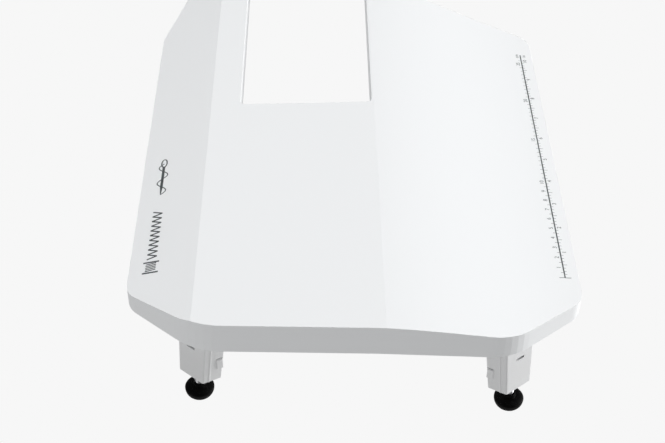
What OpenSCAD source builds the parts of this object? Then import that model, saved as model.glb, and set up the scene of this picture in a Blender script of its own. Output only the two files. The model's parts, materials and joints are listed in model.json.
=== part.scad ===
// Extension table for a free-arm sewing machine: a moulded top with a slot for
// the free arm, on four folding legs with screw feet.
// +Z is up and the origin is on the floor, under the middle of the top.
// -Y is the free end, +Y the end at the machine, +X the operator's side.

/* [Table top] */
// Width of the top, across the free arm
top_w = 306; // [300:1:316]
// Length of the top, along the free arm
top_l = 448; // [440:1:460]
// Height of the flat working surface above the floor
top_h = 95; // [92:1:102]
// Height of the skirt below the flat surface
skirt_h = 24.5; // [24:0.5:28]
// Drop of the surface from its flat middle to the left and right rims
rim_drop = 10.5; // [6:0.5:10.5]
// Thickness of the top skin
skin_t = 2.5; // [2:0.1:2.5]
// Thickness of the skirt walls
wall_t = 3; // [2.5:0.1:3]
// Where the flat middle ends at the left
flat_left_x = -106.5; // [-112:0.5:-98]
// Where the flat middle ends at the right
flat_right_x = 20; // [10:1:30]

/* [Free-arm slot] */
// Width of the slot that holds the free arm
slot_w = 102.5; // [90:0.5:104]
// Length of the slot from its closed end to the machine end
slot_l = 205; // [190:1:210]
// Middle of the slot, from the middle of the top
slot_x = -33; // [-36:0.5:-30]
// How much further the closed end lies from the operator's side corner
slot_skew = 3.5; // [0:0.5:5]

/* [Ribs] */
// Thickness of the stiffening ribs
rib_t = 1.6; // [1.2:0.1:2.5]
// Depth of the ribs below the flat surface
rib_depth = 9; // [6:0.5:10]

/* [Legs] */
// Depth of the hinge axis below the flat surface
hinge_depth = 21; // [21:0.5:22]
// Width of a leg's outer face
leg_outer_w = 22; // [18:0.5:23]
// Greatest width of a leg
leg_max_w = 33.5; // [30:0.5:33.5]
// Depth of a leg from its outer to its inner face
leg_d = 14.5; // [13:0.5:14.5]
// Length of a leg from the hinge axis to its lower end
leg_l = 51; // [50:1:53]
// How far a foot stands outside the hinge axis of its leg
leg_lean = 5.5; // [5:0.1:6]
// Diameter of a hinge pin
pin_d = 4; // [3:0.5:4]

/* [Feet] */
// Diameter of a rubber foot
foot_d = 20.6; // [18:0.1:21]
// Height of a rubber foot
foot_h = 12; // [11:0.5:12]
// Diameter of the levelling stud
stud_d = 6; // [5:0.5:6]
// Length of the levelling stud
stud_l = 34; // [32:1:34]

/* [Hidden] */
$fn = 48;
half_w = top_w / 2;
half_l = top_l / 2;
skirt_z = top_h - skirt_h;
hinge_z = top_h - hinge_depth;
run_gap = 0.05;
part_gap = 0.3;

// Each chamfer of the outline as [extent along X, extent along Y].
near_left_chamfer = [48.2, 39.5];
near_right_chamfer = [50.8, 38.2];
far_right_chamfer = [91, 56];
far_left_taper = [30.7, 103];
near_left_y = 5.4 - half_l;
near_bend = [14, 3.2 - half_l];
near_right_y = -0.55 - half_l;
far_corner_y = half_l - 103;
arm_end_x = half_w - far_right_chamfer[0] - 2;
slot_left = slot_x - slot_w / 2;
slot_right = slot_x + slot_w / 2;
slot_end_y = half_l - slot_l;

// Outline corners in order as [x, y, corner radius, turn], turn -1 at the slot.
CORNERS = [
  [-half_w, near_left_y + near_left_chamfer[1], 18],
  [-half_w + near_left_chamfer[0], near_left_y, 50],
  [near_bend[0], near_bend[1], 300],
  [half_w - near_right_chamfer[0], near_right_y, 40],
  [half_w, near_right_y + near_right_chamfer[1], 18],
  [half_w, far_corner_y, 20],
  [half_w - far_right_chamfer[0], far_corner_y + far_right_chamfer[1], 20],
  [arm_end_x, half_l, 10],
  [slot_right, half_l, 6],
  [slot_right, slot_end_y + slot_skew / 2, 4],
  [slot_left, slot_end_y - slot_skew / 2, 4],
  [slot_left, half_l, 6],
  [-half_w + far_left_taper[0], half_l, 12],
  [-half_w, half_l - far_left_taper[1], 20]
];

// Each leg as [foot x, foot y, turn about Z]; its own +Y points the way it folds.
LEG_NAMES = ["near_left", "near_right", "far_right", "far_left"];
LEGS = [
  [-106.9, -193.5, -atan2(near_left_chamfer[1], near_left_chamfer[0])],
  [108.8, -203.4, atan2(near_right_chamfer[1], near_right_chamfer[0])],
  [118, 121.3, 180 - atan2(far_right_chamfer[1], far_right_chamfer[0])],
  [-118, 125, 180]
];
// Which way along its hinge axis each leg's release slit is set off.
SLIT_SIDE = [-1, 1, 1, -1];

PIECES = ["leg_bracket", "hinge_pin", "leg_housing", "leg_cover", "thread_insert",
  "levelling_stud", "rubber_foot"];
NODES = concat(["table_top", "bracket_screws"],
  [for (piece = PIECES) for (leg = LEG_NAMES) str(piece, "_", leg)]);
node = "all";

// Leg dimensions about the hinge axis: u along the axis, v inward, w upward.
leg_top_w = -(skirt_h - hinge_depth) - 0.5;
leg_flare = 1.13;
widest_v = 5.4;
back_w = 26;
knuckle_r = 6.2;
knuckle_u = leg_max_w * leg_flare / 2;
ear_t = 2.5;
ear_r = 6;
ear_u = knuckle_u + part_gap;
pin_u = ear_u + ear_t;
plate_v = [-9.6, 6.4];
plate_rail = 2.4;
plate_t = 2.5;
plate_w = hinge_depth - skirt_h;
screw_u = 26;
boss_r = 3;
lug_r = 4;
screw_r = 1.5;
head_r = 2.7;
head_t = 1.2;
screw_l = 9;
screw_hole_top = 7;
insert_l = 14;
insert_r = 4.5;
stud_in_foot = 5;
stud_travel = 8;
foot_clear = foot_h - stud_in_foot - (hinge_z - leg_l);

function corner(list, i) = list[(i + len(list)) % len(list)];
function xy(p) = [p[0], p[1]];
function unit(v) = v / norm(v);
function cross_z(a, b) = a[0] * b[1] - a[1] * b[0];

// Points of the arc that rounds corner i, with steps every few degrees.
function corner_arc(list, i) =
  let (
    p = xy(corner(list, i)),
    a = unit(xy(corner(list, i - 1)) - p),
    b = unit(xy(corner(list, i + 1)) - p),
    r = corner(list, i)[2],
    half = acos(a * b) / 2,
    centre = p + unit(a + b) * r / sin(half),
    first = p + a * r / tan(half) - centre,
    sweep = (180 - 2 * half) * (cross_z(-a, b) > 0 ? 1 : -1),
    steps = max(2, ceil(abs(sweep) / 7.5))
  )
  [for (s = [0 : steps]) centre + turned(first, sweep * s / steps)];
function turned(v, a) = [v[0] * cos(a) - v[1] * sin(a), v[0] * sin(a) + v[1] * cos(a)];
function rounded(list) = [for (i = [0 : len(list) - 1]) each corner_arc(list, i)];

// The corner list moved inward by d, with each radius kept concentric.
function inset_corner(list, i, d) =
  let (
    p = xy(corner(list, i)),
    a = unit(p - xy(corner(list, i - 1))),
    b = unit(xy(corner(list, i + 1)) - p),
    left_turn = cross_z(a, b) > 0,
    shift = unit([-a[1] - b[1], a[0] + b[0]]),
    cos_half = shift * [-a[1], a[0]],
    r = corner(list, i)[2]
  )
  concat(p + shift * d / cos_half, [left_turn ? max(r - d, 1) : r + d]);
function inset(list, d) = [for (i = [0 : len(list) - 1]) inset_corner(list, i, d)];

// Drop of the surface below the flat middle, a share s of the way to the right rim.
function right_drop(s) = rim_drop * (0.5 * s + 0.25 * (1 - cos(180 * s)));
right_run = half_w - flat_right_x;
PROFILE_STEPS = 14;
function surface_points(lower) = concat(
  [[-half_w, top_h - rim_drop - lower], [flat_left_x, top_h - lower]],
  [for (k = [0 : PROFILE_STEPS])
    let (s = k / PROFILE_STEPS)
    [flat_right_x + right_run * s, top_h - right_drop(s) - lower]]
);

// A bar along Y whose upper side is the top surface, lowered by the given depth.
module under_surface(lower) {
  rotate([90, 0, 0])
    linear_extrude(top_l + 2, center = true)
      polygon(concat(surface_points(lower), [[half_w, skirt_z - 1], [-half_w, skirt_z - 1]]));
}

module outline_prism(inward, from_z, to_z) {
  translate([0, 0, from_z])
    linear_extrude(to_z - from_z)
      polygon(rounded(inset(CORNERS, inward)));
}

module at_leg(i) {
  translate([LEGS[i][0], LEGS[i][1], hinge_z])
    rotate(LEGS[i][2])
      translate([0, leg_lean, 0])
        children();
}

module along_axis(r, from_u, to_u) {
  translate([from_u, 0, 0]) rotate([0, 90, 0]) cylinder(r = r, h = to_u - from_u);
}

// Stiffening ribs as straight bars from one point to another.
RIB_X = [-85, -40, 5];
RIB_Y = [-150, -100, -50, 0];
CROSS_RIB_X = [-140, 85];
module ribs() {
  for (x = RIB_X)
    translate([x - rib_t / 2, wall_t / 2 - half_l, top_h - rib_depth])
      cube([rib_t, slot_end_y + half_l - wall_t, rib_depth - 1]);
  for (y = RIB_Y)
    translate([CROSS_RIB_X[0], y - rib_t / 2, top_h - rib_depth])
      cube([CROSS_RIB_X[1] - CROSS_RIB_X[0], rib_t, rib_depth - 1]);
}

module screw_bosses(r, top) {
  for (i = [0 : len(LEGS) - 1])
    at_leg(i)
      for (side = [-1, 1])
        translate([side * screw_u, 0, plate_w + plate_t])
          cylinder(r = r, h = top - (plate_w + plate_t));
}

module table_top() {
  color("white")
  difference() {
    intersection() {
      outline_prism(0, skirt_z, top_h);
      under_surface(0);
      union() {
        difference() {
          outline_prism(-1, skirt_z - 1, top_h + 1);
          intersection() {
            outline_prism(wall_t, skirt_z - 2, top_h);
            under_surface(skin_t);
          }
        }
        intersection() {
          ribs();
          outline_prism(wall_t / 2, skirt_z, top_h);
        }
        screw_bosses(boss_r, hinge_depth);
      }
    }
    screw_bosses(screw_r, screw_hole_top);
  }
}

// U-shaped plate, level with the skirt's lower edge, with two ears for the pin.
module leg_bracket(i) {
  color("gainsboro")
  at_leg(i)
    difference() {
      union() {
        translate([0, 0, plate_w])
          linear_extrude(plate_t)
            difference() {
              union() {
                translate([-pin_u, plate_v[0]]) square([2 * pin_u, plate_v[1] - plate_v[0]]);
                translate([-screw_u, -lug_r]) square([2 * screw_u, 2 * lug_r]);
                for (side = [-1, 1]) translate([side * screw_u, 0]) circle(r = lug_r);
              }
              translate([-ear_u, plate_v[0] + plate_rail]) square([2 * ear_u, plate_v[1] - plate_v[0]]);
            }
        for (side = [-1, 1])
          translate([side * (ear_u + ear_t / 2), 0, 0]) ear();
      }
      along_axis(pin_d / 2, -pin_u - 1, pin_u + 1);
      for (side = [-1, 1])
        translate([side * screw_u, 0, plate_w - 1]) {
          cylinder(r = screw_r + 0.1, h = plate_t + 2);
          cylinder(r = head_r + 0.2, h = head_t + 1);
        }
    }
}

module ear() {
  along_axis(ear_r, -ear_t / 2, ear_t / 2);
  translate([-ear_t / 2, -ear_r, plate_w + 1]) cube([ear_t, 2 * ear_r, -plate_w - 1]);
}

module bracket_screws() {
  color("silver")
  for (i = [0 : len(LEGS) - 1])
    at_leg(i)
      for (side = [-1, 1])
        translate([side * screw_u, 0, plate_w]) {
          cylinder(r = head_r, h = head_t);
          cylinder(r = screw_r, h = screw_l);
        }
}

module hinge_pin(i) {
  color("silver")
  at_leg(i) along_axis(pin_d / 2, -pin_u, pin_u);
}

// Plan of a leg: narrow outer face, sides that flare inward, chamfered back.
outer_v = -leg_d / 2;
inner_v = leg_d / 2;
LEG_PLAN = [
  [-leg_outer_w / 2, outer_v, 1.5],
  [leg_outer_w / 2, outer_v, 1.5],
  [leg_max_w / 2, widest_v, 1],
  [back_w / 2, inner_v, 1.5],
  [-back_w / 2, inner_v, 1.5],
  [-leg_max_w / 2, widest_v, 1]
];
leg_h = leg_l + leg_top_w;
slab_t = 0.5;
inner_lean = atan((leg_lean + (leg_flare - 1) * inner_v) / leg_h);
cavity_u = 9;
cavity_d = 11.5;
cavity_from = insert_l + 1;
cavity_to = leg_h - 6;
cover_t = 2;
GROOVE_Z = [24, 35];
groove_size = [10, 2];
groove_depth = 0.8;
slit_size = [7, 2];
slit_w = -23.3;

// A tapered block that leans inward from its lower end to its upper end.
module leg_block() {
  hull() {
    translate([0, -leg_lean, -leg_l])
      linear_extrude(slab_t) polygon(rounded(LEG_PLAN));
    translate([0, 0, leg_top_w - slab_t])
      linear_extrude(slab_t) scale(leg_flare) polygon(rounded(LEG_PLAN));
  }
}

// Places children with Z up the leaning inner face and its lower edge at Z = 0.
module on_inner_face() {
  translate([0, inner_v - leg_lean, -leg_l]) rotate([-inner_lean, 0, 0]) children();
}

module leg_housing(i) {
  color("white")
  at_leg(i)
    difference() {
      union() {
        leg_block();
        along_axis(knuckle_r, -knuckle_u, knuckle_u);
        translate([-leg_outer_w / 2, -knuckle_r, leg_top_w - 1])
          cube([leg_outer_w, 2 * knuckle_r, 1 - leg_top_w]);
        snap_pads();
      }
      along_axis(pin_d / 2 + run_gap, -pin_u, pin_u);
      on_inner_face()
        translate([-cavity_u, -cavity_d, cavity_from])
          cube([2 * cavity_u, cavity_d + 5, cavity_to - cavity_from]);
      translate([0, -leg_lean, -leg_l - 1]) {
        cylinder(r = insert_r, h = insert_l + 1);
        cylinder(r = stud_d / 2 + part_gap, h = stud_l + foot_clear + stud_travel + 2);
      }
      translate([(SLIT_SIDE[i] - slit_size[0]) / 2, outer_v - leg_lean - 1, slit_w - slit_size[1] / 2])
        cube([slit_size[0], 8, slit_size[1]]);
    }
}

// Low raised pads along the two widest edges, where the cover's clips sit.
PADS = [-41, -32];
pad_proud = 0.6;
pad_size = [3, 5];
pad_share = ((PADS[0] + PADS[1]) / 2 + leg_l) / leg_h;
pad_scale = 1 + (leg_flare - 1) * pad_share;
pad_u = leg_max_w / 2 * pad_scale;
pad_v = widest_v * pad_scale - leg_lean * (1 - pad_share);
side_turn = atan2((leg_max_w - leg_outer_w) / 2, widest_v - outer_v);
module snap_pads() {
  for (side = [-1, 1])
    translate([side * pad_u, pad_v, PADS[0]])
      rotate(-side * side_turn)
        translate([side * (pad_proud - pad_size[0] / 2) - pad_size[0] / 2, -pad_size[1], 0])
          cube([pad_size[0], pad_size[1], PADS[1] - PADS[0]]);
}

module leg_cover(i) {
  color("white")
  at_leg(i)
    on_inner_face()
      difference() {
        translate([0.05 - cavity_u, -cover_t, cavity_from + 0.05])
          cube([2 * cavity_u - 0.1, cover_t, cavity_to - cavity_from - 0.1]);
        for (z = GROOVE_Z)
          translate([-groove_size[0] / 2, -groove_depth, z])
            cube([groove_size[0], groove_depth + 1, groove_size[1]]);
      }
}

module thread_insert(i) {
  color("darkgoldenrod")
  at_leg(i)
    translate([0, -leg_lean, -leg_l])
      difference() {
        cylinder(r = insert_r, h = insert_l);
        translate([0, 0, -1]) cylinder(r = stud_d / 2 + run_gap, h = insert_l + 2);
      }
}

module levelling_stud(i) {
  color("silver")
  at_leg(i)
    translate([0, -leg_lean, foot_h - stud_in_foot - hinge_z])
      cylinder(r = stud_d / 2, h = stud_l);
}

// Half section of a rubber foot: a bowl, a low shoulder and a neck for the stud.
sole_r = 5;
foot_neck_r = 4.2;
widest_z = 0.57 * foot_h;
shoulder_z = 0.78 * foot_h;
function foot_side() = concat(
  [for (a = [0 : 15 : 90])
    [sole_r + (foot_d / 2 - sole_r) * sin(a), widest_z * (1 - cos(a))]],
  [for (a = [15 : 15 : 90])
    [foot_neck_r + (foot_d / 2 - foot_neck_r) * cos(a),
      widest_z + (shoulder_z - widest_z) * sin(a)]]
);
module rubber_foot(i) {
  color("black")
  at_leg(i)
    translate([0, -leg_lean, -hinge_z])
      difference() {
        rotate_extrude()
          polygon(concat([[0, 0]], foot_side(), [[foot_neck_r, foot_h], [0, foot_h]]));
        translate([0, 0, foot_h - stud_in_foot - 0.2])
          cylinder(r = stud_d / 2 + run_gap, h = stud_in_foot + 1);
      }
}

function wanted(name) = node == "all" || node == name;

if (wanted("table_top")) table_top();
if (wanted("bracket_screws")) bracket_screws();
for (i = [0 : len(LEG_NAMES) - 1]) {
  if (wanted(str("leg_bracket_", LEG_NAMES[i]))) leg_bracket(i);
  if (wanted(str("hinge_pin_", LEG_NAMES[i]))) hinge_pin(i);
  if (wanted(str("leg_housing_", LEG_NAMES[i]))) leg_housing(i);
  if (wanted(str("leg_cover_", LEG_NAMES[i]))) leg_cover(i);
  if (wanted(str("thread_insert_", LEG_NAMES[i]))) thread_insert(i);
  if (wanted(str("levelling_stud_", LEG_NAMES[i]))) levelling_stud(i);
  if (wanted(str("rubber_foot_", LEG_NAMES[i]))) rubber_foot(i);
}
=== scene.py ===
"""Visual model of an extension table for a free-arm sewing machine.

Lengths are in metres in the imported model's frame: +Z up, +X the operator's side,
+Y the end that meets the machine.
"""
import json
import math

import bpy
from mathutils import Matrix, Vector


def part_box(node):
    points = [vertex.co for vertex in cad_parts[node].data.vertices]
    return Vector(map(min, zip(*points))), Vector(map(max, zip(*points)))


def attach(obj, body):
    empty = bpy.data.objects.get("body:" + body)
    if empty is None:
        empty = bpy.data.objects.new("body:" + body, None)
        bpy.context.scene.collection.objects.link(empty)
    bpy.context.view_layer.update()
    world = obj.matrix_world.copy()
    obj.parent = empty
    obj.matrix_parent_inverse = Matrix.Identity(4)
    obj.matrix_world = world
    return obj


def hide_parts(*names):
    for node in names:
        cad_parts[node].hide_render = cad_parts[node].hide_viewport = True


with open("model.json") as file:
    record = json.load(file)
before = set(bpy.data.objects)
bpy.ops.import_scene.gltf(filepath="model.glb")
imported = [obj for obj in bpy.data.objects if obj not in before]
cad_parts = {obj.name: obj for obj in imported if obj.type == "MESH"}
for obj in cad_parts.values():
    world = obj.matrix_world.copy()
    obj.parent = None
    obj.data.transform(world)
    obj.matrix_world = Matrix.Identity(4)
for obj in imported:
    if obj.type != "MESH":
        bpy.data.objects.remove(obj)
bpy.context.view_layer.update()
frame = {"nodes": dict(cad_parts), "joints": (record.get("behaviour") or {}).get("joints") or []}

MM = 0.001
LEG_NAMES = ["near_left", "near_right", "far_right", "far_left"]

# ---------------------------------------------------------------- sizes
top_low, top_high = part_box("table_top")
HALF_W = top_high.x
HALF_L = top_high.y
TOP_Z = top_high.z
SKIRT_Z = top_low.z
RIM_DROP = 10.5 * MM
SKIN_T = 2.5 * MM
WALL_T = 3 * MM
RIB_T = 1.6 * MM
RIB_DEPTH = 9 * MM
RIB_TAPER = 0.75
RIB_BITE = 0.4 * MM
RIB_X = (-85 * MM, -40 * MM, 5 * MM)
RIB_Y = (-150 * MM, -100 * MM, -50 * MM, 0)
CROSS_RIB_X = (-133 * MM, 85 * MM)
FLAT_LEFT_X = -106.5 * MM
FLAT_RIGHT_X = 20 * MM
SLOT_L = 205 * MM
slot_end = HALF_L - SLOT_L
# Outer face of the near wall where the ribs meet it, from end to end as (x, y).
NEAR_WALL = ((-HALF_W + 48.2 * MM, -HALF_L + 5.4 * MM), (14 * MM, -HALF_L + 3.2 * MM))


# ---------------------------------------------------------------- materials
def node_material(name):
    """A material with its Principled shader, ready for more nodes."""
    mat = bpy.data.materials.new(name)
    mat.use_nodes = True
    tree = mat.node_tree
    return mat, tree, tree.nodes["Principled BSDF"]


def noise(tree, scale, detail=2.0, rough=0.5):
    """A noise texture on object coordinates, scale in cycles per metre."""
    coords = tree.nodes.new("ShaderNodeTexCoord")
    tex = tree.nodes.new("ShaderNodeTexNoise")
    tex.inputs["Scale"].default_value = scale
    tex.inputs["Detail"].default_value = detail
    tex.inputs["Roughness"].default_value = rough
    tree.links.new(coords.outputs["Object"], tex.inputs["Vector"])
    return tex


def ramp(tree, source, low, high, from_min=0.3, from_max=0.7):
    """Maps a noise output to a range of values."""
    node = tree.nodes.new("ShaderNodeMapRange")
    node.inputs["From Min"].default_value = from_min
    node.inputs["From Max"].default_value = from_max
    node.inputs["To Min"].default_value = low
    node.inputs["To Max"].default_value = high
    tree.links.new(source, node.inputs["Value"])
    return node.outputs["Result"]


def mixed_colour(tree, factor, first, second):
    """A colour between two, by a factor from 0 to 1."""
    node = tree.nodes.new("ShaderNodeMix")
    node.data_type = "RGBA"
    node.inputs["A"].default_value = (*first, 1)
    node.inputs["B"].default_value = (*second, 1)
    tree.links.new(factor, node.inputs["Factor"])
    return node.outputs["Result"]


def bump(tree, shader, height, distance):
    """Bump on a shader, with a full height of the given distance in metres."""
    node = tree.nodes.new("ShaderNodeBump")
    node.inputs["Distance"].default_value = distance
    node.inputs["Strength"].default_value = 1.0
    tree.links.new(height, node.inputs["Height"])
    tree.links.new(node.outputs["Normal"], shader.inputs["Normal"])


def moulded_plastic(name, colour, shade, roughness):
    """Satin moulded plastic: fine spark-eroded grain, faint flow clouds and soft wear in the gloss."""
    mat, tree, shader = node_material(name)
    clouds = noise(tree, 9.0, 3.0)
    tone = mixed_colour(tree, ramp(tree, clouds.outputs["Fac"], 0, 1), colour, shade)
    tree.links.new(tone, shader.inputs["Base Color"])
    handling = noise(tree, 60.0, 4.0, 0.6)
    gloss = ramp(tree, handling.outputs["Fac"], roughness - 0.05, roughness + 0.06)
    tree.links.new(gloss, shader.inputs["Roughness"])
    grain_depth = 0.000006
    fine = noise(tree, 2600.0, 2.0, 0.55)
    bump(tree, shader, fine.outputs["Fac"], grain_depth)
    shader.inputs["Specular IOR Level"].default_value = 0.45
    return mat


def metal(name, colour, shade, roughness, scale):
    """Plated or turned metal with fine scratches and a mottled tone."""
    mat, tree, shader = node_material(name)
    shader.inputs["Metallic"].default_value = 1.0
    mottle = noise(tree, scale, 4.0, 0.6)
    tone = mixed_colour(tree, ramp(tree, mottle.outputs["Fac"], 0, 1), colour, shade)
    tree.links.new(tone, shader.inputs["Base Color"])
    fine = noise(tree, scale * 6, 3.0, 0.7)
    gloss = ramp(tree, fine.outputs["Fac"], roughness - 0.08, roughness + 0.12)
    tree.links.new(gloss, shader.inputs["Roughness"])
    bump(tree, shader, fine.outputs["Fac"], 0.000004)
    return mat


def black_rubber(name):
    """Moulded rubber: nearly black, matt, with a pitted skin and slightly paler dusty patches."""
    mat, tree, shader = node_material(name)
    dust = noise(tree, 260.0, 5.0, 0.65)
    dusty = ramp(tree, dust.outputs["Fac"], 0, 1, 0.45, 0.8)
    tone = mixed_colour(tree, dusty, (0.0012, 0.0012, 0.0013), (0.003, 0.003, 0.0033))
    tree.links.new(tone, shader.inputs["Base Color"])
    gloss = ramp(tree, dust.outputs["Fac"], 0.5, 0.72)
    tree.links.new(gloss, shader.inputs["Roughness"])
    shader.inputs["Specular IOR Level"].default_value = 0.07
    pits = noise(tree, 1800.0, 3.0, 0.6)
    bump(tree, shader, pits.outputs["Fac"], 0.00002)
    return mat


def print_ink(name, colour):
    """Pad-printed ink: flat, slightly uneven coverage over the grain below."""
    mat, tree, shader = node_material(name)
    cover = noise(tree, 900.0, 3.0, 0.6)
    lighter = tuple(min(1.0, c * 1.5 + 0.01) for c in colour)
    tone = mixed_colour(tree, ramp(tree, cover.outputs["Fac"], 0, 1, 0.4, 0.75), colour, lighter)
    tree.links.new(tone, shader.inputs["Base Color"])
    tree.links.new(ramp(tree, cover.outputs["Fac"], 0.45, 0.6), shader.inputs["Roughness"])
    return mat


WHITE = moulded_plastic("top_white", (0.80, 0.81, 0.82), (0.78, 0.79, 0.805), 0.42)
LEG_WHITE = moulded_plastic("leg_white", (0.78, 0.785, 0.785), (0.76, 0.765, 0.77), 0.46)
BRACKET_WHITE = moulded_plastic("bracket_white", (0.74, 0.75, 0.76), (0.71, 0.72, 0.73), 0.5)
STEEL = metal("zinc_steel", (0.60, 0.60, 0.61), (0.50, 0.50, 0.52), 0.34, 400.0)
BRASS = metal("turned_brass", (0.72, 0.54, 0.25), (0.60, 0.43, 0.18), 0.3, 500.0)
RUBBER = black_rubber("foot_rubber")
INK = print_ink("ruler_ink", (0.06, 0.068, 0.07))


# ---------------------------------------------------------------- mesh tools
def add_object(name, verts, faces, material, body, slot, replaced=()):
    """A mesh object that rides on a body and stands for CAD nodes."""
    mesh = bpy.data.meshes.new(name)
    mesh.from_pydata([tuple(v) for v in verts], [], faces)
    mesh.validate()
    obj = bpy.data.objects.new(name, mesh)
    bpy.context.scene.collection.objects.link(obj)
    mesh.materials.append(material)
    place(obj, body, replaced)
    return obj


def place(obj, body, replaced=()):
    """Says which body a piece rides on and the nodes it stands for."""
    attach(obj, body)
    if replaced:
        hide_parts(*replaced)


def smooth(obj, angle=35.0, weighted=True):
    """Smooth shading with sharp edges above an angle, and face-weighted normals."""
    mesh = obj.data
    mesh.polygons.foreach_set("use_smooth", [True] * len(mesh.polygons))
    mesh.set_sharp_from_angle(angle=math.radians(angle))
    if weighted:
        mod = obj.modifiers.new("weighted", "WEIGHTED_NORMAL")
        mod.mode = "FACE_AREA"
        mod.keep_sharp = True


def bevelled(obj, width, segments=2, angle=40.0):
    """Eases the edges that are sharper than an angle in degrees."""
    mod = obj.modifiers.new("bevel", "BEVEL")
    mod.width = width
    mod.segments = segments
    mod.limit_method = "ANGLE"
    mod.angle_limit = math.radians(angle)
    mod.use_clamp_overlap = True


def apply_modifiers(obj):
    """Bakes an object's modifiers into its mesh."""
    graph = bpy.context.evaluated_depsgraph_get()
    mesh = bpy.data.meshes.new_from_object(obj.evaluated_get(graph))
    obj.modifiers.clear()
    obj.data = mesh


def temp_object(name, verts, faces):
    """A working object that is used up or copied, and isn't a piece itself."""
    mesh = bpy.data.meshes.new(name)
    mesh.from_pydata([tuple(v) for v in verts], [], faces)
    obj = bpy.data.objects.new(name, mesh)
    bpy.context.scene.collection.objects.link(obj)
    return obj


def boolean(obj, tools, operation):
    """Applies exact booleans with each tool in turn and removes the tools."""
    for tool in tools:
        mod = obj.modifiers.new("boolean", "BOOLEAN")
        mod.operation = operation
        mod.solver = "EXACT"
        mod.object = tool
        apply_modifiers(obj)
        bpy.data.objects.remove(tool)


def ring_faces(count, first, second):
    """Quads between two closed rings of vertices, by their first indices."""
    return [(first + i, first + (i + 1) % count, second + (i + 1) % count, second + i)
            for i in range(count)]


def loft(rings, closed_ends=True):
    """Vertices and faces through equal closed rings, capped at both ends."""
    count = len(rings[0])
    verts = [v for ring in rings for v in ring]
    faces = []
    for k in range(len(rings) - 1):
        faces += ring_faces(count, k * count, (k + 1) * count)
    if closed_ends:
        faces.append(tuple(reversed(range(count))))
        faces.append(tuple(range((len(rings) - 1) * count, len(rings) * count)))
    return verts, faces


def circle(radius, count):
    """Points (x, y) evenly round a circle."""
    return [(radius * math.cos(2 * math.pi * i / count), radius * math.sin(2 * math.pi * i / count))
            for i in range(count)]


def lathe(profile, count=64):
    """A closed solid turned about Z from (radius, height) pairs, bottom to top."""
    rings = [[(x, y, z) for x, y in circle(max(r, 1e-6), count)] for r, z in profile]
    return loft(rings)


def outline_arcs(corners, step_deg, spacing):
    """Points and outward normals round a polygon with rounded corners."""
    count = len(corners)
    found = []
    for i in range(count):
        p = Vector(corners[i][:2])
        a = (Vector(corners[i - 1][:2]) - p).normalized()
        b = (Vector(corners[(i + 1) % count][:2]) - p).normalized()
        radius = corners[i][2]
        half = math.acos(max(-1, min(1, a.dot(b)))) / 2
        centre = p + (a + b).normalized() * radius / math.sin(half)
        first = p + a * radius / math.tan(half) - centre
        turn = 1 if (-a).cross(b) > 0 else -1
        sweep = (math.pi - 2 * half) * turn
        steps = max(2, math.ceil(math.degrees(abs(sweep)) / step_deg))
        for s in range(steps + 1):
            spoke = first.copy()
            spoke.rotate(Matrix.Rotation(sweep * s / steps, 2))
            found.append((centre + spoke, spoke.normalized() * turn))
    points = []
    for (p, n), (q, m) in zip(found, found[1:] + found[:1]):
        points.append((p, n))
        parts = math.ceil((q - p).length / spacing)
        for k in range(1, parts):
            mid = n.lerp(m, k / parts).normalized()
            points.append((p.lerp(q, k / parts), mid))
    return points


# ---------------------------------------------------------------- top
CREASE_EASE = 0.9 * MM
RIGHT_EASE = 0.012


def eased(d, slope, width):
    """A slope that starts at d = 0, with its bend eased over a width."""
    if d < -width:
        return 0.0
    if d > width:
        return slope * d
    return slope * (d + width) ** 2 / (4 * width)


def surface_z(x):
    """Height of the top surface: flat middle, planar left slope, long S-curve on the right."""
    left_slope = RIM_DROP / (HALF_W + FLAT_LEFT_X)
    drop = eased(FLAT_LEFT_X - x, left_slope, CREASE_EASE)
    run = HALF_W - FLAT_RIGHT_X
    s = (x - FLAT_RIGHT_X) / run
    if s > -RIGHT_EASE:
        # Half of the drop is straight and the other half follows a cosine.
        drop += RIM_DROP * 0.5 * eased(s, 1.0, RIGHT_EASE)
        if s > 0:
            drop += RIM_DROP * 0.25 * (1 - math.cos(math.pi * s))
    return TOP_Z - drop


def box_mesh(low, high):
    """Corners and faces of a box."""
    verts = [(x, y, z) for z in (low[2], high[2]) for y in (low[1], high[1]) for x in (low[0], high[0])]
    faces = [(0, 2, 3, 1), (4, 5, 7, 6), (0, 1, 5, 4), (2, 6, 7, 3), (0, 4, 6, 2), (1, 3, 7, 5)]
    return verts, faces


def joined(parts):
    """Several (vertices, faces) pairs as one."""
    verts, faces = [], []
    for more_verts, more_faces in parts:
        base = len(verts)
        verts += more_verts
        faces += [tuple(v + base for v in face) for face in more_faces]
    return verts, faces


def moved(part, matrix):
    """A (vertices, faces) pair put through a matrix."""
    verts, faces = part
    return [tuple(matrix @ Vector(v)) for v in verts], faces


# ---------------------------------------------------------------- leg frames
def leg_frames():
    """Per leg, hinge coordinates to the row frame: X along the axis, Y the way it folds, Z up."""
    found = {}
    for joint in frame["joints"]:
        if joint["name"].startswith("leg_fold_"):
            along, up = Vector(joint["axis"]), Vector((0, 0, 1))
            turn = Matrix((along, up.cross(along), up)).transposed().to_4x4()
            found[joint["name"].removeprefix("leg_fold_")] = Matrix.Translation(joint["pos_m"]) @ turn
    return found


LEG_FRAMES = leg_frames()
HINGE_Z = LEG_FRAMES["near_left"].translation.z
SLIT_SIDE = {"near_left": -1, "near_right": 1, "far_right": 1, "far_left": -1}

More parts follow.
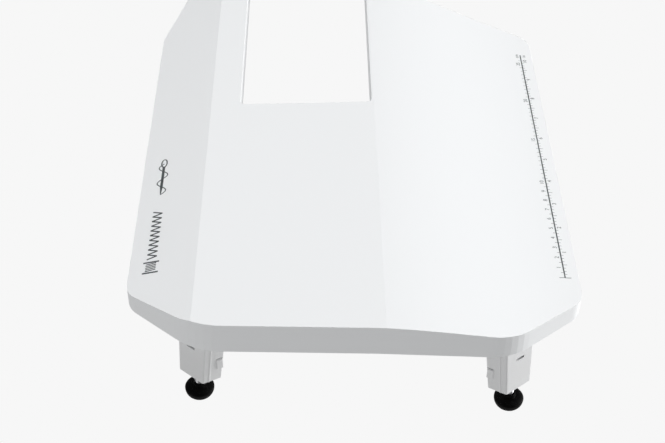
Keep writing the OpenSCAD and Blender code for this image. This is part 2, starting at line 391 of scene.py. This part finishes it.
LEG_LOW = -51 * MM
LEG_TOP = SKIRT_Z - HINGE_Z - 0.5 * MM
LEG_H = LEG_TOP - LEG_LOW
LEAN = 5.5 * MM
FLARE = 0.13
OUTER_U, WIDEST_U, BACK_U = 11 * MM, 16.75 * MM, 13 * MM
OUTER_V, WIDEST_V, INNER_V = -7.25 * MM, 5.4 * MM, 7.25 * MM
KNUCKLE_R = 6.2 * MM
KNUCKLE_U = WIDEST_U * (1 + FLARE)
EAR_T = 2.5 * MM
EAR_U = KNUCKLE_U + 0.3 * MM
PIN_R = 2 * MM
PLATE_W = SKIRT_Z - HINGE_Z
PLATE_T = 2.5 * MM
SCREW_U = 26 * MM
SCREW_R, SCREW_L = 1.5 * MM, 9 * MM
HEAD_R, HEAD_T = 2.7 * MM, 1.2 * MM
BOSS_R = 3 * MM
BOSS_BITE = 1.2 * MM
FOOT_H = 12 * MM
FOOT_R = 10.3 * MM
STUD_R = 3 * MM
STUD_L = 34 * MM
STUD_CLEAR = 0.05 * MM
STUD_ROOM = 9 * MM
STUD_LOW = FOOT_H - 5 * MM - HINGE_Z
INSERT_L = 14 * MM
INSERT_R = 4.5 * MM
CAVITY_U = 9 * MM
CAVITY_D = 11.5 * MM
CAVITY_FROM, CAVITY_TO = INSERT_L + 1 * MM, LEG_H - 6 * MM
COVER_T = 2 * MM
GROOVE_Z = (25 * MM, 36 * MM)
PADS = (-41 * MM, -32 * MM)
PAD_SIZE = (3 * MM, 5 * MM)
PAD_SINK = 0.9 * MM
NOTCH_U, NOTCH_V = (14.6 * MM, 18.6 * MM), (-2.2 * MM, 4.4 * MM)
NOTCH_H = 0.8 * MM
SLIT_L, SLIT_H, SLIT_D = 7 * MM, 2 * MM, 7 * MM
SLIT_OFF = 0.5 * MM
SLIT_W = -23.3 * MM
INNER_FACE = (Matrix.Translation((0, INNER_V - LEAN, LEG_LOW))
              @ Matrix.Rotation(-math.atan((LEAN + FLARE * INNER_V) / LEG_H), 4, "X"))


# ---------------------------------------------------------------- underside of the top
def rib_top(x):
    """Height to which a rib at x runs, a little way into the skin above it."""
    return surface_z(x) - SKIN_T + RIB_BITE


def rib_along_x(y, from_x, to_x, low_z):
    """A rib whose upper edge follows the underside of the skin, which it meets."""
    steps, half = 24, RIB_T / 2
    rings = []
    for k in range(steps + 1):
        x = from_x + (to_x - from_x) * k / steps
        high = rib_top(x)
        rings.append([(x, y - half * RIB_TAPER, low_z), (x, y + half * RIB_TAPER, low_z),
                      (x, y + half, high), (x, y - half, high)])
    return loft(rings)


def rib_along_y(x, from_y, to_y, low_z):
    """A straight rib along the table."""
    high, half = rib_top(x), RIB_T / 2
    rings = [[(x + half * RIB_TAPER, y, low_z), (x - half * RIB_TAPER, y, low_z),
              (x - half, y, high), (x + half, y, high)] for y in (from_y, to_y)]
    return loft(rings)


def screw_places():
    """Where the bracket screws stand, two to a leg."""
    return [LEG_FRAMES[name] @ Vector((side * SCREW_U, 0, 0)) for name in LEG_NAMES for side in (-1, 1)]


def screw_boss(spot):
    """The boss that takes one bracket screw, from the bracket's plate up into the skin."""
    low = HINGE_Z + PLATE_W + PLATE_T
    height = surface_z(spot.x) - SKIN_T + BOSS_BITE - low
    ease, taper = 0.3 * MM, 0.1 * MM
    profile = [(0, 0), (BOSS_R - ease, 0), (BOSS_R, 0.4 * MM), (BOSS_R + taper, height), (0, height)]
    return moved(lathe(profile, 32), Matrix.Translation((spot.x, spot.y, low)))


def add_underside():
    """Ribs and screw bosses under the top, which double those of the CAD node."""
    low_z = TOP_Z - RIB_DEPTH
    near_left, bend = (Vector(end) for end in NEAR_WALL)
    parts = []
    for x in RIB_X:
        near_edge = near_left.lerp(bend, (x - near_left.x) / (bend.x - near_left.x)).y
        parts.append(rib_along_y(x, near_edge + WALL_T / 2, slot_end - WALL_T / 2, low_z))
    parts += [rib_along_x(y, *CROSS_RIB_X, low_z) for y in RIB_Y]
    parts += [screw_boss(spot) for spot in screw_places()]
    obj = add_object("top_ribs", *joined(parts), WHITE, "table", "top_plastic")
    smooth(obj, 40.0, weighted=False)


# ---------------------------------------------------------------- legs
def leg_plan():
    """Plan of a leg with a thin upright ridge on each side, counter-clockwise from above."""
    side = Vector((WIDEST_U - OUTER_U, WIDEST_V - OUTER_V))
    along = side.normalized()
    out = Vector((along.y, -along.x))
    start = Vector((OUTER_U, OUTER_V))
    profile = ((3.9, 0), (4.3, 0.35), (4.9, 0.35), (5.3, 0))
    ridge = [start + along * d * MM + out * height * MM for d, height in profile]
    right = [(OUTER_U, OUTER_V, 1.5 * MM)] + [(p.x, p.y, 0.12 * MM) for p in ridge]
    right += [(WIDEST_U, WIDEST_V, 1 * MM), (BACK_U, INNER_V, 1.5 * MM)]
    return right + [(-x, y, r) for x, y, r in reversed(right)]


def leg_block():
    """The tapered, leaning body of a leg with eased ends."""
    plan = outline_arcs(leg_plan(), step_deg=15.0, spacing=20 * MM)
    ease = 0.7 * MM
    levels = [(ease * (1 - math.sin(a)), LEG_LOW + ease * (1 - math.cos(a)))
              for a in (math.pi / 2 * k / 3 for k in range(4))]
    levels += [(0, LEG_LOW + LEG_H * part) for part in (0.25, 0.5, 0.75)]
    levels += [(0, LEG_TOP - 0.4 * MM), (0.4 * MM, LEG_TOP)]
    rings = []
    for inset, w in levels:
        part = (w - LEG_LOW) / LEG_H
        grown = (1 + FLARE * part) * (1 - inset / OUTER_U)
        rings.append([(p.x * grown, p.y * grown - LEAN * (1 - part), w) for p, _ in plan])
    return loft(rings)


def rounded_bar(size_x, size_y, radius, levels):
    """A bar along Z with a rounded rectangular section and (inset, height) levels."""
    corners = [(sx * size_x / 2, sy * size_y / 2, radius) for sx, sy in ((-1, -1), (1, -1), (1, 1), (-1, 1))]
    plan = outline_arcs(corners, step_deg=22.5, spacing=1.0)
    rings = [[(p.x - n.x * inset, p.y - n.y * inset, z) for p, n in plan] for inset, z in levels]
    return loft(rings)


def snap_pad(side):
    """A low raised pad along the widest edge of a leg."""
    low, high = PADS
    part = ((low + high) / 2 - LEG_LOW) / LEG_H
    grown = 1 + FLARE * part
    edge = Vector((side * WIDEST_U * grown, WIDEST_V * grown - LEAN * (1 - part), 0))
    angle = math.atan2(WIDEST_U - OUTER_U, WIDEST_V - OUTER_V)
    ease = 0.4 * MM
    bar = rounded_bar(*PAD_SIZE, 0.7 * MM,
                      [(ease, low), (0, low + ease), (0, high - ease), (ease, high)])
    turn = Matrix.Rotation(-side * angle, 4, "Z")
    sunk = Matrix.Translation((-side * PAD_SINK, -PAD_SIZE[1] / 2, 0))
    return moved(bar, Matrix.Translation(edge) @ turn @ sunk)


def along_u(profile, count=48):
    """A solid turned about the hinge axis from (radius, place along it) pairs."""
    return moved(lathe(profile, count), Matrix.Rotation(math.pi / 2, 4, "Y"))


def leg_housing(slit_side):
    """The moulded leg: block, knuckle and pads, with bore, pin hole, cavity, slit and notches cut out."""
    obj = temp_object("leg", *leg_block())
    ease = 0.5 * MM
    knuckle = along_u([(0, -KNUCKLE_U), (KNUCKLE_R - ease, -KNUCKLE_U), (KNUCKLE_R, ease - KNUCKLE_U),
                       (KNUCKLE_R, KNUCKLE_U - ease), (KNUCKLE_R - ease, KNUCKLE_U), (0, KNUCKLE_U)])
    neck = box_mesh((-OUTER_U, -KNUCKLE_R + 0.1 * MM, LEG_TOP - 1 * MM),
                    (OUTER_U, KNUCKLE_R - 0.1 * MM, 0.2 * MM))
    added = [knuckle, neck, snap_pad(-1), snap_pad(1)]
    boolean(obj, [temp_object("part", *part) for part in added], "UNION")
    beyond = 30 * MM
    pin_hole_r = PIN_R + 0.05 * MM
    cavity = box_mesh((-CAVITY_U, -CAVITY_D, CAVITY_FROM), (CAVITY_U, 5 * MM, CAVITY_TO))
    bore_r, bore_top = STUD_R + 0.3 * MM, STUD_LOW + STUD_L + STUD_ROOM - LEG_LOW
    bore = lathe([(0, -MM), (INSERT_R, -MM), (INSERT_R, INSERT_L), (bore_r, INSERT_L), (bore_r, bore_top),
                  (0, bore_top)], 36)
    # Turned a little, as a precaution, so that no corner of the bore is on the leg's plane of symmetry.
    under = Matrix.Translation((0, -LEAN, LEG_LOW)) @ Matrix.Rotation(math.radians(2), 4, "Z")
    slit_u = slit_side * SLIT_OFF
    slit = box_mesh((slit_u - SLIT_L / 2, OUTER_V - LEAN - MM, SLIT_W - SLIT_H / 2),
                    (slit_u + SLIT_L / 2, OUTER_V - LEAN + SLIT_D, SLIT_W + SLIT_H / 2))
    cut = [moved(bore, under),
           along_u([(0, -beyond), (pin_hole_r, -beyond), (pin_hole_r, beyond), (0, beyond)]),
           moved(cavity, INNER_FACE), slit]
    for side in (-1, 1):
        from_u, to_u = sorted(side * u for u in NOTCH_U)
        cut.append(box_mesh((from_u, NOTCH_V[0], PADS[1]), (to_u, NOTCH_V[1], PADS[1] + NOTCH_H)))
    boolean(obj, [temp_object("part", *part) for part in cut], "DIFFERENCE")
    return obj


def leg_cover():
    """The clip-in cover of a leg's hollow, with two finger grooves."""
    ease = 0.3 * MM
    width, height = 2 * CAVITY_U - 0.1 * MM, CAVITY_TO - CAVITY_FROM - 0.1 * MM
    bar = rounded_bar(width, height, 0.4 * MM, [(0, -COVER_T), (0, -ease), (ease, 0)])
    middle = CAVITY_FROM + 0.05 * MM + height / 2
    upright = Matrix.Translation((0, 0, middle)) @ Matrix.Rotation(-math.pi / 2, 4, "X")
    obj = temp_object("cover", *moved(bar, upright))
    tools = []
    for z in GROOVE_Z:
        groove = moved(lathe([(0, -5 * MM), (0.8 * MM, -5 * MM), (1.1 * MM, -4.6 * MM),
                              (1.1 * MM, 4.6 * MM), (0.8 * MM, 5 * MM), (0, 5 * MM)], 24),
                       Matrix.Translation((0, 0.3 * MM, z)) @ Matrix.Rotation(math.pi / 2, 4, "Y"))
        tools.append(temp_object("groove", *groove))
    boolean(obj, tools, "DIFFERENCE")
    obj.data.transform(INNER_FACE)
    return obj


def ring_lathe(profile, count):
    """A closed ring turned about Z from a closed loop of (radius, height) pairs."""
    rings = [[(x, y, z) for x, y in circle(r, count)] for r, z in profile]
    verts, faces = loft(rings, closed_ends=False)
    return verts, faces + ring_faces(count, (len(profile) - 1) * count, 0)


def thread_insert():
    """A brass sleeve with a chamfered mouth."""
    inner, outer = STUD_R + STUD_CLEAR, INSERT_R - 0.02 * MM
    chamfer = 0.4 * MM
    profile = [(inner + chamfer, 0), (outer, 0), (outer, INSERT_L), (inner, INSERT_L), (inner, chamfer)]
    return moved(ring_lathe(profile, 48), Matrix.Translation((0, -LEAN, LEG_LOW)))


def levelling_stud():
    """A stud with a helical thread above its plain end in the foot."""
    pitch, depth, flank, rows_per_turn, count = 1.0 * MM, 0.5 * MM, 2.4, 8, 24
    plain, plain_r = 5.5 * MM, STUD_R - 0.6 * MM
    thread_to = STUD_L - 0.9 * MM
    rings = [[(x, y, z) for x, y in circle(plain_r, count)] for z in (0, plain)]
    rows = round((thread_to - plain) / pitch * rows_per_turn)
    for k in range(1, rows + 1):
        z = plain + (thread_to - plain) * k / rows
        ring = []
        for i, (x, y) in enumerate(circle(1.0, count)):
            phase = (z / pitch - i / count) % 1.0
            radius = STUD_R - 0.03 * MM - depth * min(1.0, abs(phase - 0.5) * flank)
            ring.append((x * radius, y * radius, z))
        rings.append(ring)
    rings.append([(x, y, STUD_L) for x, y in circle(STUD_R - 1.2 * MM, count)])
    return moved(loft(rings), Matrix.Translation((0, -LEAN, STUD_LOW)))


def rubber_foot():
    """A bowl with a low shoulder and a neck, two shallow grooves in its sole."""
    sole_r, neck_r = 5 * MM, 4.2 * MM
    widest_z, shoulder_z = 0.57 * FOOT_H, 0.78 * FOOT_H
    profile = [(0, 0)]
    for r in (1.6, 3.2):
        profile += [(r * MM, 0), ((r + 0.15) * MM, 0.3 * MM),
                    ((r + 0.65) * MM, 0.3 * MM), ((r + 0.8) * MM, 0)]
    for k in range(13):
        a = math.pi / 2 * k / 12
        profile.append((sole_r + (FOOT_R - sole_r) * math.sin(a), widest_z * (1 - math.cos(a))))
    for k in range(1, 12):
        a = math.pi / 2 * k / 12
        profile.append((neck_r + (FOOT_R - neck_r) * math.cos(a),
                        widest_z + (shoulder_z - widest_z) * math.sin(a)))
    bore = STUD_R + STUD_CLEAR
    floor = FOOT_H - 5.2 * MM
    profile += [(neck_r + 0.25 * MM, shoulder_z + 0.05 * MM), (neck_r, shoulder_z + 0.4 * MM),
                (neck_r, FOOT_H - 0.4 * MM), (neck_r - 0.4 * MM, FOOT_H), (bore + 0.2 * MM, FOOT_H),
                (bore, FOOT_H - 0.2 * MM), (bore, floor), (0, floor)]
    return moved(lathe(profile, 72), Matrix.Translation((0, -LEAN, -HINGE_Z)))


def hinge_pin():
    """A plain pin, flush with the outer faces of the bracket's ears."""
    end, ease = EAR_U + EAR_T, 0.3 * MM
    half = [(PIN_R, end - ease), (PIN_R - ease, end), (0, end)]
    return along_u([(r, -u) for r, u in reversed(half)] + half, 40)


def bracket_screw():
    """A pan-head screw with a cross recess, head downward."""
    profile = [(0, 0), (HEAD_R * 0.6, 0.03 * MM), (HEAD_R * 0.9, 0.2 * MM), (HEAD_R, 0.5 * MM),
               (HEAD_R, HEAD_T), (SCREW_R, HEAD_T), (SCREW_R, SCREW_L - 0.4 * MM),
               (SCREW_R - 0.4 * MM, SCREW_L), (0, SCREW_L)]
    obj = temp_object("screw", *lathe(profile, 32))
    arm, slot_half, deep = 1.5 * MM, 0.35 * MM, 0.8 * MM
    tools = [temp_object("cross", *box_mesh((-a, -b, -MM), (a, b, deep)))
             for a, b in ((arm, slot_half), (slot_half, arm))]
    boolean(obj, tools, "DIFFERENCE")
    return obj


def placed_copy(source, name, matrix, material, body, replaced=()):
    """A copy of a mesh built in hinge coordinates, moved to its place in the row frame."""
    mesh = source.data.copy()
    mesh.transform(matrix)
    mesh.materials.clear()
    mesh.materials.append(material)
    obj = bpy.data.objects.new(name, mesh)
    bpy.context.scene.collection.objects.link(obj)
    place(obj, body, replaced)
    return obj


def add_legs():
    """Every leg's pieces, each built once in hinge coordinates and copied to its place."""
    # Per piece: source mesh, material, body, slot and the angle above which an edge stays sharp.
    sources = {
        "leg_cover": (leg_cover(), LEG_WHITE, "leg_{}", "leg_plastic", 35.0),
        "thread_insert": (temp_object("insert", *thread_insert()), BRASS, "leg_{}", "brass", 35.0),
        "levelling_stud": (temp_object("stud", *levelling_stud()), STEEL, "stud_{}", "steel", 60.0),
        "rubber_foot": (temp_object("foot", *rubber_foot()), RUBBER, "foot_{}", "foot_rubber", 50.0),
        "hinge_pin": (temp_object("pin", *hinge_pin()), STEEL, "table", "steel", 50.0),
    }
    housings = {side: leg_housing(side) for side in (-1, 1)}
    for leg, matrix in LEG_FRAMES.items():
        node = "leg_housing_" + leg
        obj = placed_copy(housings[SLIT_SIDE[leg]], node + "_moulded", matrix, LEG_WHITE, "leg_" + leg,
                          [node])
        smooth(obj, 32.0)
        for piece, (source, material, body, slot, angle) in sources.items():
            node = piece + "_" + leg
            obj = placed_copy(source, node + "_detailed", matrix, material, body.format(leg), [node])
            smooth(obj, angle)
    for source in [*housings.values(), *(entry[0] for entry in sources.values())]:
        bpy.data.objects.remove(source)


def add_bracket_screws():
    """The eight screws, each left at its own turn."""
    source = bracket_screw()
    verts = [tuple(v.co) for v in source.data.vertices]
    faces = [tuple(f.vertices) for f in source.data.polygons]
    bpy.data.objects.remove(source)
    parts = []
    turns = (12, 47, -20, 33, 5, 71, -38, 60)
    for spot, turn in zip(screw_places(), turns):
        spin = Matrix.Rotation(math.radians(turn), 4, "Z")
        parts.append(moved((verts, faces), Matrix.Translation((spot.x, spot.y, SKIRT_Z)) @ spin))
    obj = add_object("bracket_screws_detailed", *joined(parts), STEEL, "table", "steel", ["bracket_screws"])
    smooth(obj, 40.0)


def finish_brackets():
    """The brackets keep their CAD shape, with eased edges."""
    for leg in LEG_NAMES:
        obj = frame["nodes"]["leg_bracket_" + leg]
        obj.data.materials.clear()
        obj.data.materials.append(BRACKET_WHITE)
        bevelled(obj, 0.3 * MM, 2, 45.0)


# ---------------------------------------------------------------- printed marks
INK_UP = 0.04 * MM
INK_DOWN = 0.12 * MM


def inked(outline):
    """A thin closed film on the top surface over a convex outline of (x, y) points."""
    rings = [[(x, y, surface_z(x) - INK_DOWN) for x, y in outline],
             [(x, y, surface_z(x) + INK_UP) for x, y in outline]]
    return loft(rings)


def ink_bar(x0, y0, x1, y1, width):
    """A straight printed stroke from one point to another."""
    start, end = Vector((x0, y0)), Vector((x1, y1))
    side = (end - start).normalized().orthogonal() * width / 2
    return inked([start - side, end - side, end + side, start + side])


def ink_curve(points, width):
    """A printed stroke along a line of points, as overlapping straight strokes."""
    return joined([ink_bar(*p, *q, width) for p, q in zip(points, points[1:])])


def ink_text(text, x, y, size):
    """Figures read from the operator's side: they run along +Y with their tops towards -X."""
    curve = bpy.data.curves.new("figure", "FONT")
    curve.body = text
    curve.size = size
    curve.extrude = MM
    curve.align_x = "CENTER"
    curve.align_y = "CENTER"
    obj = bpy.data.objects.new("figure", curve)
    bpy.context.scene.collection.objects.link(obj)
    bpy.context.view_layer.update()
    mesh = bpy.data.meshes.new_from_object(obj.evaluated_get(bpy.context.evaluated_depsgraph_get()))
    verts = []
    for v in mesh.vertices:
        at_x = x - v.co.y
        verts.append((at_x, y + v.co.x, surface_z(at_x) + (INK_UP if v.co.z > 0 else -INK_DOWN)))
    faces = [tuple(f.vertices) for f in mesh.polygons]
    bpy.data.objects.remove(obj)
    bpy.data.meshes.remove(mesh)
    return verts, faces


RULER_X = 143.7 * MM
RULER_FROM = -164.8 * MM
RULER_TO = 98 * MM
INCH = 25.4 * MM
CM_COLUMN = -2.9 * MM
INCH_COLUMN = 3 * MM
FIGURE_SIZE = 4.2 * MM
TICK_W = 0.28 * MM
CM_TICK = 2.2 * MM
HALF_INCH_TICK, EIGHTH_TICK = 3.2 * MM, 1.9 * MM


def add_ruler():
    """A ruler with centimetres on its left and inches on its right, counted from the free end."""
    x = RULER_X
    line_w, end_w = 0.9 * MM, 0.45 * MM
    parts = [ink_bar(x, RULER_FROM, x, RULER_TO, line_w),
             ink_bar(x - 4 * MM, RULER_FROM, x + 4.2 * MM, RULER_FROM, end_w)]
    labelled = [*range(1, 11), 15, 20, 25]
    for half_cm in range(1, 52):
        y = RULER_FROM + half_cm * 5 * MM
        if half_cm % 2 == 0 and half_cm // 2 in labelled:
            parts.append(ink_text(str(half_cm // 2), x + CM_COLUMN, y, FIGURE_SIZE))
        else:
            parts.append(ink_bar(x - CM_TICK, y, x, y, TICK_W))
    for eighth in range(1, 81):
        y = RULER_FROM + eighth * INCH / 8
        if eighth % 8 == 0:
            parts.append(ink_text(str(eighth // 8), x + INCH_COLUMN, y, FIGURE_SIZE))
        else:
            length = HALF_INCH_TICK if eighth % 4 == 0 else EIGHTH_TICK
            parts.append(ink_bar(x, y, x + length, y, TICK_W))
    unit_y = RULER_TO - 1.5 * MM
    for unit, column in (("cm", CM_COLUMN), ("in", INCH_COLUMN)):
        parts.append(ink_text(unit, x + column, unit_y, FIGURE_SIZE))
    add_object("ruler_print", *joined(parts), INK, "table", "top_plastic")


EMBLEM_X = -138 * MM
EMBLEM_FROM = -163.5 * MM


def add_emblem():
    """A plain row of sewing signs on the left slope: a spool, zigzag stitches and a threaded needle."""
    x, y = EMBLEM_X, EMBLEM_FROM
    parts = []
    flange_half, wound_half = 5.5 * MM, 3.6 * MM
    for end in (0, 10.2):
        level = y + (0.7 + end) * MM
        parts.append(ink_bar(x - flange_half, level, x + flange_half, level, 1.4 * MM))
    for lap in range(5):
        level = y + (2.4 + 1.6 * lap) * MM
        parts.append(ink_bar(x - wound_half, level, x + wound_half, level + 0.9 * MM, 0.9 * MM))
    start, pitch, half = -149.5 * MM, 4.9 * MM, 3.4 * MM
    zigzag = [(x + (half if k % 2 else -half), start + pitch / 2 * k) for k in range(21)]
    parts.append(ink_curve(zigzag, 1.15 * MM))
    needle_from, needle_to = -82 * MM, -41 * MM
    tip_half, needle_half = 0.3 * MM, 1.0 * MM
    tip_end, eye_start = needle_from + 8 * MM, needle_to - 9 * MM
    parts.append(inked([(x - tip_half, needle_from), (x + tip_half, needle_from),
                        (x + needle_half, tip_end), (x + needle_half, eye_start),
                        (x - needle_half, eye_start), (x - needle_half, tip_end)]))
    eye = [(x + 2.0 * MM * math.cos(a), needle_to - 5.5 * MM + 4.4 * MM * math.sin(a))
           for a in (2 * math.pi * k / 24 for k in range(25))]
    parts.append(ink_curve(eye, 1.0 * MM))
    thread = [(x + 3.6 * MM * math.sin(k / 24 * 4 * math.pi), needle_from + (k / 24) * 35 * MM)
              for k in range(25)]
    parts.append(ink_curve(thread, 0.8 * MM))
    add_object("emblem_print", *joined(parts), INK, "table", "top_plastic")


# The table top itself stays the CAD node, with the material that the frame gives it.
add_underside()
add_legs()
add_bracket_screws()
finish_brackets()
add_ruler()
add_emblem()


# ---------------------------------------------------------------- scene
def add_floor():
    """A wide sheet of lit paper that shows no shadows, and can't be seen from below.

    It lies just under a foot that is screwed right out, so that it hides no part of one.
    """
    travel = max(joint["range_m"][1] for joint in frame["joints"] if joint["name"].startswith("foot_height_"))
    reach, z, seen, cast = 30.0, -travel - 0.5 * MM, 0.93, 0.80
    corners = [(-reach, -reach, z), (reach, -reach, z), (reach, reach, z), (-reach, reach, z)]
    mesh = bpy.data.meshes.new("floor")
    mesh.from_pydata(corners, [], [(0, 1, 2, 3)])
    obj = bpy.data.objects.new("floor", mesh)
    bpy.context.scene.collection.objects.link(obj)
    mat, tree, shader = node_material("lit_paper")
    shader.inputs["Base Color"].default_value = (0, 0, 0, 1)
    shader.inputs["Roughness"].default_value = 1.0
    shader.inputs["Specular IOR Level"].default_value = 0.0
    shader.inputs["Emission Color"].default_value = (1, 1, 1, 1)
    path = tree.nodes.new("ShaderNodeLightPath")
    level = tree.nodes.new("ShaderNodeMapRange")
    level.inputs["To Min"].default_value = cast
    level.inputs["To Max"].default_value = seen
    tree.links.new(path.outputs["Is Camera Ray"], level.inputs["Value"])
    tree.links.new(level.outputs["Result"], shader.inputs["Emission Strength"])
    clear = tree.nodes.new("ShaderNodeBsdfTransparent")
    facing = tree.nodes.new("ShaderNodeNewGeometry")
    either = tree.nodes.new("ShaderNodeMixShader")
    output = next(node for node in tree.nodes if node.type == "OUTPUT_MATERIAL")
    tree.links.new(facing.outputs["Backfacing"], either.inputs["Fac"])
    tree.links.new(shader.outputs["BSDF"], either.inputs[1])
    tree.links.new(clear.outputs["BSDF"], either.inputs[2])
    tree.links.new(either.outputs["Shader"], output.inputs["Surface"])
    mesh.materials.append(mat)


def add_camera():
    """The view from above the free end, looking along the slot."""
    data = bpy.data.cameras.new("camera")
    data.lens = 70.55
    data.sensor_width = 36.0
    data.shift_x = 0.0263
    data.clip_end = 100.0
    obj = bpy.data.objects.new("camera", data)
    obj.location = (-0.026, -0.796, TOP_Z + 0.6097)
    obj.rotation_euler = (math.radians(48.0), 0, 0)
    bpy.context.scene.collection.objects.link(obj)
    bpy.context.scene.camera = obj


def add_area(name, location, target, size, power):
    """A round soft lamp that faces a point."""
    data = bpy.data.lights.new(name, "AREA")
    data.shape = "DISK"
    data.size = size
    data.energy = power
    obj = bpy.data.objects.new(name, data)
    obj.location = location
    obj.rotation_euler = (Vector(target) - Vector(location)).to_track_quat("-Z", "Y").to_euler()
    bpy.context.scene.collection.objects.link(obj)


def add_lights():
    """A dim studio with a lamp overhead, one at the right and a small one at the left."""
    world = bpy.data.worlds.new("studio")
    world.use_nodes = True
    background = world.node_tree.nodes["Background"]
    background.inputs["Color"].default_value = (0.97, 0.98, 1.0, 1)
    background.inputs["Strength"].default_value = 0.13
    bpy.context.scene.world = world
    add_area("overhead", (0.2, 0.1, 3.0), (0, 0, 0.05), 1.6, 65.5)
    add_area("side", (2.85, 0.42, 0.36), (0, 0, 0.05), 0.9, 82.0)
    add_area("left_fill", (-1.1, -0.75, 0.75), (-0.12, -0.1, 0.08), 0.5, 2.3)


add_floor()
add_camera()
add_lights()
bpy.context.scene.view_settings.view_transform = "Standard"
